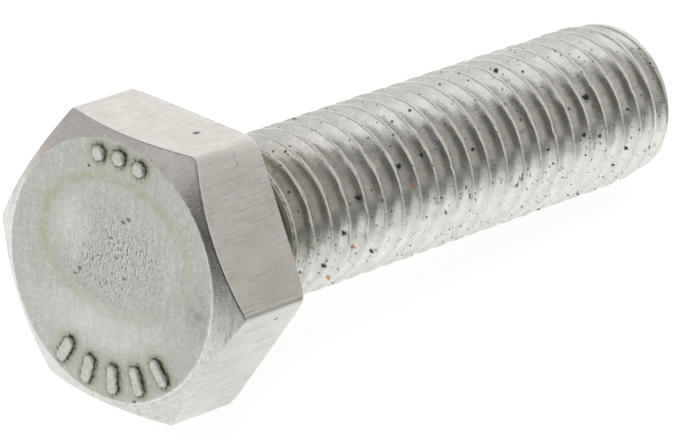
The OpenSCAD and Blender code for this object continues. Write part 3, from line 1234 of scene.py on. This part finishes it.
# %% Profile of one pitch
PITCH = 1.25
CREST_RADIUS = 3.965
ROOT_RADIUS = 3.233
CREST_HALF = 0.075
CREST_EASE, CREST_EASE_STEPS = 0.055, 3
ROOT_STEPS = 3
FLANK_RADII = [3.50, 3.62, 3.72, 3.81]
FLANK_TURN = math.radians(60)
# The flanks would meet in a sharp groove below the root: the root's curve fills that groove
SHARP_ROOT = CREST_RADIUS - (PITCH / 2 - CREST_HALF) * math.tan(FLANK_TURN)
ROOT_ROUND = ROOT_RADIUS - SHARP_ROOT


def half_profile():
    """From the middle of the root to the middle of the crest: (distance from the crest, radius)."""
    line = []
    for step in range(ROOT_STEPS + 1):
        turn = FLANK_TURN * step / ROOT_STEPS
        radius = ROOT_RADIUS + ROOT_ROUND * (1 - math.cos(turn))
        line.append((PITCH / 2 - ROOT_ROUND * math.sin(turn), radius))
    for radius in FLANK_RADII:
        line.append((CREST_HALF + (CREST_RADIUS - radius) / math.tan(FLANK_TURN), radius))
    corners = [line[-1], (CREST_HALF, CREST_RADIUS), (0.0, CREST_RADIUS)]
    return line + rounded(corners, CREST_EASE, CREST_EASE_STEPS)[1:]


half = half_profile()
PROFILE = [(-s, r) for s, r in half] + [(s, r) for s, r in reversed(half[1:-1])]
print("Points in one pitch:", len(PROFILE))

# %% [markdown]
# The thread isn't the same all along. Next to the head it grows out of the neck, a little further on
# its crest is unfinished, and at the end the blank was tapered. Each of these is a small function
# of the place along the bolt, which is easier to adjust than a mesh that was sculpted by hand.

# %% Changes along the thread
NECK_RADIUS = 3.594
# Where crests and roots start to grow out of the neck and where they are full, along X
CREST_GROWTH, ROOT_GROWTH = (0.3, 2.0), (0.3, 1.8)
# How much of the crest is there from the start
CREST_START = 0.4
# Where along X the crest turns unfinished, and where it is whole again
SEAM_RISE, SEAM_FALL = (1.7, 2.2), (3.0, 3.5)
# The largest radius that the tapered blank leaves, as (x, radius)
TAPER = [(27.6, 4.0), (29.0, 3.92), (29.6, 3.84), (30.3, 3.79), (30.4, 3.7)]


def taper(x):
    for (x0, r0), (x1, r1) in zip(TAPER, TAPER[1:]):
        if x < x1:
            return r0 + (r1 - r0) * max(0.0, (x - x0) / (x1 - x0))
    return TAPER[-1][1]


def fade_in(x, radius):
    """Near the head the thread grows out of the neck."""
    if radius > NECK_RADIUS:
        share = CREST_START + (1 - CREST_START) * smoothstep(*CREST_GROWTH, x)
    else:
        share = smoothstep(*ROOT_GROWTH, x)
    return NECK_RADIUS + (radius - NECK_RADIUS) * share


def unfinished_at(x):
    return between(x, SEAM_RISE, SEAM_FALL)


print("The crest is unfinished from", SEAM_RISE[0], "to", SEAM_FALL[1], "mm")

# %% [markdown]
# Each section is the profile of one pitch, set a little further round and along than the one before.
# Noise moves the crest and cuts nicks into it. It is read along a helix too, so that it runs on
# from turn to turn. Where the crest is unfinished it is wider, and a seam splits its middle.

# %% One section of the thread
SECTIONS_PER_TURN = 120
CREST_ANGLE = math.radians(69.5)
CREST_WANDER, FINE_WANDER = 0.016, 0.6
NICK_DEPTH, NICK_LEVELS = 0.05, (0.34, 0.55)
# The helices for slow wander, fine wander and nicks, as (stretch along X, radius)
SLOW_PATH, FINE_PATH, NICK_PATH = (0.9, 2.2), (4.0, 9.0), (2.5, 6.0)
SEAM_DEPTH = 0.08
SEAM_COLUMNS = (len(half) - 2, len(half) - 1)
CREST_SPREAD = 0.8
# The crest's foot, as a share of the thread's height
CREST_FOOT = 0.87


def thread_section(number):
    """The points of one section of the thread, from one root to the next."""
    crest_x = PITCH * number / SECTIONS_PER_TURN
    angle = CREST_ANGLE + 2 * math.pi * crest_x / PITCH
    slow, fine, nick = (
        noise.noise(Vector(around(crest_x * stretch, radius, angle)))
        for stretch, radius in (SLOW_PATH, FINE_PATH, NICK_PATH)
    )
    wander = CREST_WANDER * (slow + FINE_WANDER * fine)
    nicked = NICK_DEPTH * smoothstep(*NICK_LEVELS, nick)
    unfinished = unfinished_at(crest_x)
    section = []
    for column, (s, radius) in enumerate(PROFILE):
        height = (radius - ROOT_RADIUS) / (CREST_RADIUS - ROOT_RADIUS)
        if height > CREST_FOOT:
            s *= 1 + CREST_SPREAD * unfinished
        if column in SEAM_COLUMNS:
            radius -= SEAM_DEPTH * unfinished
        x = crest_x + s + height * wander
        radius += height**3 * (wander - nicked)
        section.append(around(x, min(fade_in(x, radius), taper(x)), angle))
    return section


print("Points in a turn of the thread:", SECTIONS_PER_TURN * len(PROFILE))

# %% [markdown]
# The sections make one long strip that winds round the bolt. The last column of a section meets the
# first column of the section one full turn later, so the strip closes to a tube. It could stay open
# with its border hidden in the root, but then the thread would have no inside and no volume.

# %% Sections along the helix
SHANK_END = 30.4

first_section = -SECTIONS_PER_TURN
last_section = math.ceil((SHANK_END / PITCH + 1) * SECTIONS_PER_TURN)
thread_points = [p for n in range(first_section, last_section + 1) for p in thread_section(n)]
width = len(PROFILE)
section_count = last_section - first_section + 1
thread_faces = []
for i in range(section_count - 1):
    for j in range(width - 1):
        a = i * width + j
        thread_faces.append((a, a + width, a + width + 1, a + 1))
    if i + 1 + SECTIONS_PER_TURN < section_count:
        a, turn_later = i * width + width - 1, (i + SECTIONS_PER_TURN) * width
        thread_faces.append((a, a + width, turn_later + width, turn_later))
print("Thread sections:", section_count, "faces:", len(thread_faces))

# %% [markdown]
# ## Dirt on the thread
# The photograph shows single black specks, a few rust spots and piles of crumbs. The large ones are
# given one by one, near where the real bolt has them. A painted image could hold them too, but a list
# of places is short and easy to change. Each is written the way one would measure it on a shank: how
# far along, at which angle and how far from the axis.

# %% Places of specks, piles and rust
# Each: place along the bolt, angle in degrees, distance from the axis, radius
BLACK_SPECKS = [
    (24.9, 141, 3.51, 0.24),
    (21.1, 92, 3.63, 0.17),
    (23.9, 167, 3.71, 0.15),
    (27.6, 193, 3.53, 0.15),
    (26.5, 201, 3.84, 0.14),
    (7.6, 156, 3.75, 0.24),
    (12.5, 142, 3.74, 0.15),
    (11.1, 144, 3.44, 0.20),
    (6.4, 177, 3.75, 0.17),
    (9.0, 203, 3.68, 0.17),
    (5.3, 198, 3.84, 0.17),
    (25.1, 172, 3.68, 0.13),
    (27.5, 160, 3.55, 0.12),
    (21.3, 169, 3.61, 0.12),
    (16.2, 150, 3.49, 0.13),
]
CRUMB_PILES = [
    (15.2, 178, 3.81, 0.55),
    (19.0, 184, 3.90, 0.55),
    (15.3, 217, 3.79, 0.50),
    (11.6, 218, 3.84, 0.50),
]
RUST_SPOTS = [
    (11.4, 161, 3.77, 0.17),
    (7.6, 195, 3.52, 0.18),
    (6.6, 218, 3.76, 0.20),
    (4.0, 178, 3.93, 0.12),
]


def on_thread(where, places):
    """One mask for spots at places of the thread."""
    spots = [(around(x, out, math.radians(angle)), size) for x, angle, out, size in places]
    return placed_spots(where, spots)


print("Placed on the thread:", len(BLACK_SPECKS + CRUMB_PILES + RUST_SPOTS))

# %% [markdown]
# ## The finish of the thread
# Rolling polishes the flanks and draws streaks along them. The crests are rubbed bright, and painted
# highlights and painted shade lie on the ridge as well. Roots hold old dirt, oil has dried near the
# head and dust lies on the upper side. Small specks are scattered by chance, and crumbs lie on the
# lower side. Slow waves in the bump keep the mirror images in the flanks from looking machined. The
# masks come first.

# %% Masks of the rolled thread
STREAKS_PER_FLANK = 5.0
STREAK_ALONG = (0.45, 0.45, 0.45)
ELSEWHERE = (4.0, 9.0, 2.0)

rolled_thread, where = metal("rolled_thread")
elsewhere = vector_maths("ADD", where, ELSEWHERE)
along, _, upward = axes_of(where)
clouds = place(mottle, where, Scale=0.9, Contrast=2.8)
patches = place(mottle, where, Scale=3.0, Contrast=3.0)
coat = place(mottle, where, Scale=3.6, Contrast=3.2)
grain = place(mottle, where, Scale=8.0, Contrast=3.0)

coarse = place(specks, where, Cells_per_mm=1.4, Share=0.26, Radius=0.18)
small = place(specks, elsewhere, Cells_per_mm=3.0, Share=0.6, Radius=0.29)
small = times(small, ramp(clouds, 0.25, 0.7, 0.4, 0.85))
strewn = times(ramp(upward, 1.5, -0.5, 0.0, 0.85), ramp(patches, 0.6, 0.8))
crumbs = place(torn, elsewhere, Marks_per_mm=4.5, Cut=0.54)
crumbs = times(crumbs, largest(strewn, on_thread(where, CRUMB_PILES)))
black = largest(on_thread(where, BLACK_SPECKS), times(coarse, 0.85), small, crumbs)
rust = on_thread(where, RUST_SPOTS)

oil = times(ramp(along, 8.0, 1.5, 0.0, 0.55), ramp(patches, 0, 1, 1.0, 0.5))
oil = times(oil, ramp(upward, -1.0, 1.5, 0.3, 1.0))
dust = times(ramp(upward, 1.5, 3.0), ramp(coat, 0.2, 0.8, 0.35, 0.1))
dust = times(dust, ramp(along, 20.0, 8.0, 0.2, 1.0))

ridge = painted(rolled_thread, "ridge")
streaks = noise_lines(times(ridge, STREAKS_PER_FLANK), where, STREAK_ALONG, 0.65)
crest = ramp(ridge, 0.85, 0.92)
# Painted highlights: on the crests, with a little wear, and in front towards the end
rubbed = times(crest, ramp(coat, 0.15, 0.55, 0.35, 1.0), painted(rolled_thread, "rub"))
bare = times(painted(rolled_thread, "bare"), ramp(coat, 0.25, 0.75, 0.3, 1.0))
seam = times(ramp(ridge, 0.93, 0.98), ramp(clouds, 0.52, 0.64, 0.0, 0.7))
seam = times(seam, ramp(coat, 0.3, 0.65, 1.0, 0.45))
split = times(painted(rolled_thread, "split"), ramp(coat, 0.4, 0.7, 1.0, 0.6))
seam = largest(seam, split)
print("Masks of the thread ready")

# %% [markdown]
# The coats go on from the steel up again: its clouds and streaks, old dirt, oil and dust, then the
# painted highlights with the rubbed crests, and last painted shade, seams, rust and specks. Specks and
# rust are rougher than the steel, and specks and seams lie a little deeper. Colour alone could show
# them, but then they would shine.

# %% Finish of the rolled thread
BARE_STEEL = (0.95, 0.94, 0.92)

colour = layered(
    (0.68, 0.67, 0.645),
    (clouds, (0.79, 0.785, 0.76)),
    (ramp(patches, 0, 1, 0.35, 0.0), (0.50, 0.49, 0.455)),
    (ramp(streaks, 0.5, 0.75, 0.0, 0.35), (0.90, 0.89, 0.87)),
    (ramp(streaks, 0.48, 0.28, 0.0, 0.28), (0.45, 0.44, 0.41)),
    (ramp(grain, 0, 0.75, 0.26, 0.0), (0.42, 0.41, 0.385)),
    # Old dirt in the roots, oil and dust
    (ramp(ridge, 0.3, 0.0, 0.0, 0.35), (0.45, 0.43, 0.37)),
    (oil, (0.51, 0.485, 0.395)),
    (dust, (0.47, 0.455, 0.43)),
    # Painted highlights in front and on the crests, over a little wear on the crests
    (bare, BARE_STEEL),
    (rubbed, BARE_STEEL),
    # Painted shade beside the crests and on the lowest side, seams in the crests, and painted shade on
    # the flanks near the head and in front
    (painted(rolled_thread, "lee"), (0.40, 0.39, 0.36)),
    (times(seam, 0.85), (0.12, 0.113, 0.097)),
    (painted(rolled_thread, "shade"), (0.15, 0.142, 0.118)),
    (times(rust, 0.75), (0.66, 0.38, 0.21)),
    (times(black, 0.9), (0.03, 0.03, 0.024)),
)
polish = plus(ramp(grain, 0, 1, 0.12, 0.21), times(crest, 0.12))
roughness = largest(polish, times(largest(black, rust), 0.7))
waves = noise_at(where, 1.3, detail=0.5)
relief = plus(times(waves, 4.0), plus(times(grain, 0.4), streaks))
complete(rolled_thread, colour, roughness, minus(minus(relief, black), seam), 0.006)

# %% [markdown]
# ## Cutting the thread to length
# The strip is longer than the shank, so it is cut square at both ends. One more cut gives the
# broken edge of the end a clean line. A Boolean modifier could cut too, but it would close the cut
# with faces of its own, and the end needs an open rim.

# %% Thread piece
SKIN_START = 0.12
# A point lies on a cut when it is closer to it than this, in metres
ON_CUT = 1e-7

screw_thread = make_piece(
    "rolled_thread", ["screw_thread", "shank_core"], SHANK_SLOT, thread_points, thread_faces,
    rolled_thread,
)
shell = bmesh.new()
shell.from_mesh(screw_thread.data)


def cut_square(x, side=0):
    """Cuts the shell across at x, and drops what lies before (-1) or after (1) it."""
    bmesh.ops.bisect_plane(
        shell,
        geom=shell.verts[:] + shell.edges[:] + shell.faces[:],
        plane_co=metres((x, 0, 0)),
        plane_no=(1, 0, 0),
        clear_inner=side < 0,
        clear_outer=side > 0,
    )


def open_edges(x):
    """The edges at x that have a face on one side only."""
    rims = [edge for edge in shell.edges if edge.is_boundary]
    return [edge for edge in rims if all(abs(v.co.x - x * MM) < ON_CUT for v in edge.verts)]


cut_square(TAPER[-2][0])
cut_square(SHANK_END, side=1)
cut_square(SKIN_START, side=-1)
print("Open edges at the end:", len(open_edges(SHANK_END)))

# %% [markdown]
# A bolt is solid, so the tube is closed. Its end becomes a flat rim with a round hole, in which the
# cupped end of the bolt will sit. One face over the whole end would be simpler, but would leave no
# place for the cup. The other end hides inside the neck, and there one face is enough.

# %% Close the thread's ends
PLUG_RADIUS = 3.0
PLUG_START = 29.2


def draw_in(edges, x, radius):
    """Extrudes an open rim to a circle at x, and returns its edges."""
    made = bmesh.ops.extrude_edge_only(shell, edges=edges)["geom"]
    for v in (g for g in made if isinstance(g, bmesh.types.BMVert)):
        out = Vector((v.co.y, v.co.z)).normalized() * radius * MM
        v.co = (x * MM, out.x, out.y)
    return [g for g in made if isinstance(g, bmesh.types.BMEdge) and g.is_boundary]


rim = draw_in(open_edges(SHANK_END), SHANK_END, PLUG_RADIUS)
rim = draw_in(rim, PLUG_START, PLUG_RADIUS)
bmesh.ops.edgeloop_fill(shell, edges=rim)
bmesh.ops.edgeloop_fill(shell, edges=open_edges(SKIN_START))
bmesh.ops.recalc_face_normals(shell, faces=shell.faces[:])
shell.to_mesh(screw_thread.data)
shell.free()
screw_thread.data.shade_smooth()
print("Thread faces after cutting:", len(screw_thread.data.polygons))

# %% [markdown]
# ## Wear, painted highlights and painted shade on the ridge
# The finish needs to know where a point lies between root and crest. That follows from its place on
# the helix: the ridge is 1 on the crest and 0 in the root. The crests are rubbed a little all round,
# and a painted highlight on them is stronger on the side towards the camera and on the unfinished
# crest. On the lower side a strip of painted shade lies beside each crest, on the flank that faces the
# head, and painted shade darkens the lowest side. On the camera's side painted shade darkens the upper
# half of that flank, and towards the end the rest of the thread there gets a painted highlight. The
# first turns get painted shade from the head. All this is paint on the metal, so it stays when the
# light moves.

# %% Paint the ridge
ANGLE_START = -math.pi / 6
# Stretches round the shank as angles in degrees, each with a soft start and end
IN_FRONT = ((112, 126), (160, 184))
BELOW, LOWEST = ((168, 190), (300, 325)), ((224, 234), (250, 270))
# Rub: a little wear all round, and a painted highlight stronger in front and on the unfinished crest
RUB_STRENGTH, RUB_BEHIND, SEAM_RUB = 0.45, 0.12, 0.2
# Painted shade lies in a strip beside each crest on the lower side, and over the lowest side
# Strips beside the crest: middle and half width in pitches, counted from the crest
LEE_PLACE, LEE_HALF, LEE_STRENGTH, LOWEST_STRENGTH = -0.11, 0.06, 0.27, 0.2
SPLIT_PLACE, SPLIT_HALF, SPLIT_STRENGTH = -0.03, 0.045, 1.8
# The half of a flank that painted shade darkens, in pitches from the crest, and where along X it grows
# and fades
DARK_FLANK, FLANK_STRENGTH = ((-0.27, -0.17), (-0.10, -0.06)), 0.33
FLANK_GROWTH, FLANK_FADE, FLANK_LOSS = (2, 10), (24, 29), 0.35
# A painted highlight on the rest of the thread in front, growing towards the end
BARE_GROWTH, BARE_STRENGTH = (10, 30), 0.44
# How many turns the head shades, and how strongly
SHADED_TURNS, SHADE_STRENGTH = (1.83, 1.87), 0.5


def ridge_shares(x, y, z):
    """Where a point lies on the ridge, how rubbed and split it is, and how much painted highlight and
    painted shade lie there.
    """
    angle = (math.atan2(z, y) - ANGLE_START) % (2 * math.pi) + ANGLE_START
    degrees = math.degrees(angle)
    turns = x / PITCH - (angle - CREST_ANGLE) / (2 * math.pi)
    phase = turns - round(turns)
    in_front = between(degrees, *IN_FRONT)
    flank = between(phase, *DARK_FLANK)
    # Painted shade on the upper half of the flank in front
    dark = FLANK_STRENGTH * flank * in_front * smoothstep(*FLANK_GROWTH, x)
    dark *= 1 - FLANK_LOSS * smoothstep(*FLANK_FADE, x)
    shaded = SHADE_STRENGTH * (1 - smoothstep(*SHADED_TURNS, turns))
    # Painted shade: a strip beside each crest on the lower side
    dirty = LEE_STRENGTH * bell(phase - LEE_PLACE, LEE_HALF) * between(degrees, *BELOW)
    split = SPLIT_STRENGTH * bell(phase - SPLIT_PLACE, SPLIT_HALF)
    # A little wear all round, and a painted highlight in front
    rub = RUB_STRENGTH * (RUB_BEHIND + (1 - RUB_BEHIND) * in_front)
    return {
        "ridge": 1 - 2 * abs(phase),
        "rub": rub + SEAM_RUB * unfinished_at(x),
        "lee": dirty + LOWEST_STRENGTH * between(degrees, *LOWEST),
        "shade": max(shaded, dark),
        # A painted highlight in front, growing towards the end
        "bare": BARE_STRENGTH * (1 - flank) * in_front * smoothstep(*BARE_GROWTH, x),
        "split": min(1.0, split) * unfinished_at(x),
    }


paint(screw_thread, [ridge_shares(*(v.co / MM)) for v in screw_thread.data.vertices])

# %% [markdown]
# ## The neck
# Between the washer face and the thread a small fillet takes the load off the corner. It is a
# quarter of a circle in profile, turned round the axis, with a short tail inside the thread. A Bevel
# modifier on the corner would do if head and shank were one mesh, but here each is its own piece.

# %% Neck piece
NECK_FILLET = 0.45
FILLET_STEPS = 8
NECK_TAIL = 0.7

fillet = []
for step in range(FILLET_STEPS + 1):
    turn = math.pi / 2 * step / FILLET_STEPS
    x = NECK_FILLET * (1 - math.cos(turn))
    fillet.append((x, COLLAR_RADIUS - NECK_FILLET * math.sin(turn)))
neck_line = [(HEAD_BACK, COLLAR_RADIUS), *fillet, (NECK_TAIL, ROOT_RADIUS)]
turned("neck_fillet", "shank_neck", SHANK_SLOT, neck_line, rolled_thread)

# %% [markdown]
# ## The end
# The bar was sheared to length before it was rolled, so the end is dull and grainy. Rolling pushed
# the outside further than the middle, which left a shallow cup. One plug with that cup fills the
# hole in the thread's end. A disc pushed in by hand in Sculpt Mode could have the cup too, but a
# turned profile keeps it round.

# %% Finish and piece of the end
CUP_RADIUS = 2.2
CUP_DEPTH = 0.25
CUP_STEPS = 14
RIM_RADIUS = 2.6

sheared_end, where = metal("sheared_end")
clouds = place(mottle, where, Scale=1.4, Contrast=2.8)
grain = place(mottle, where, Scale=9.0, Contrast=2.8)
colour = layered(
    (0.48, 0.475, 0.45),
    (clouds, (0.62, 0.615, 0.59)),
    (ramp(grain, 0, 1, 0.0, 0.4), (0.36, 0.355, 0.335)),
    (place(specks, where, Cells_per_mm=1.2, Share=0.3, Radius=0.14), (0.04, 0.038, 0.03)),
)
complete(sheared_end, colour, ramp(grain, 0, 1, 0.34, 0.5), grain, 0.015)

cup = []
for step in range(CUP_STEPS, 0, -1):
    radius = CUP_RADIUS * step / CUP_STEPS
    cup.append((SHANK_END - CUP_DEPTH * (1 - smoothstep(0.0, CUP_RADIUS, radius)), radius))
plug_line = [(PLUG_START, PLUG_RADIUS), (SHANK_END, PLUG_RADIUS), (SHANK_END, RIM_RADIUS), *cup]
turned("cupped_end", "shank_point", SHANK_SLOT, plug_line, sheared_end)
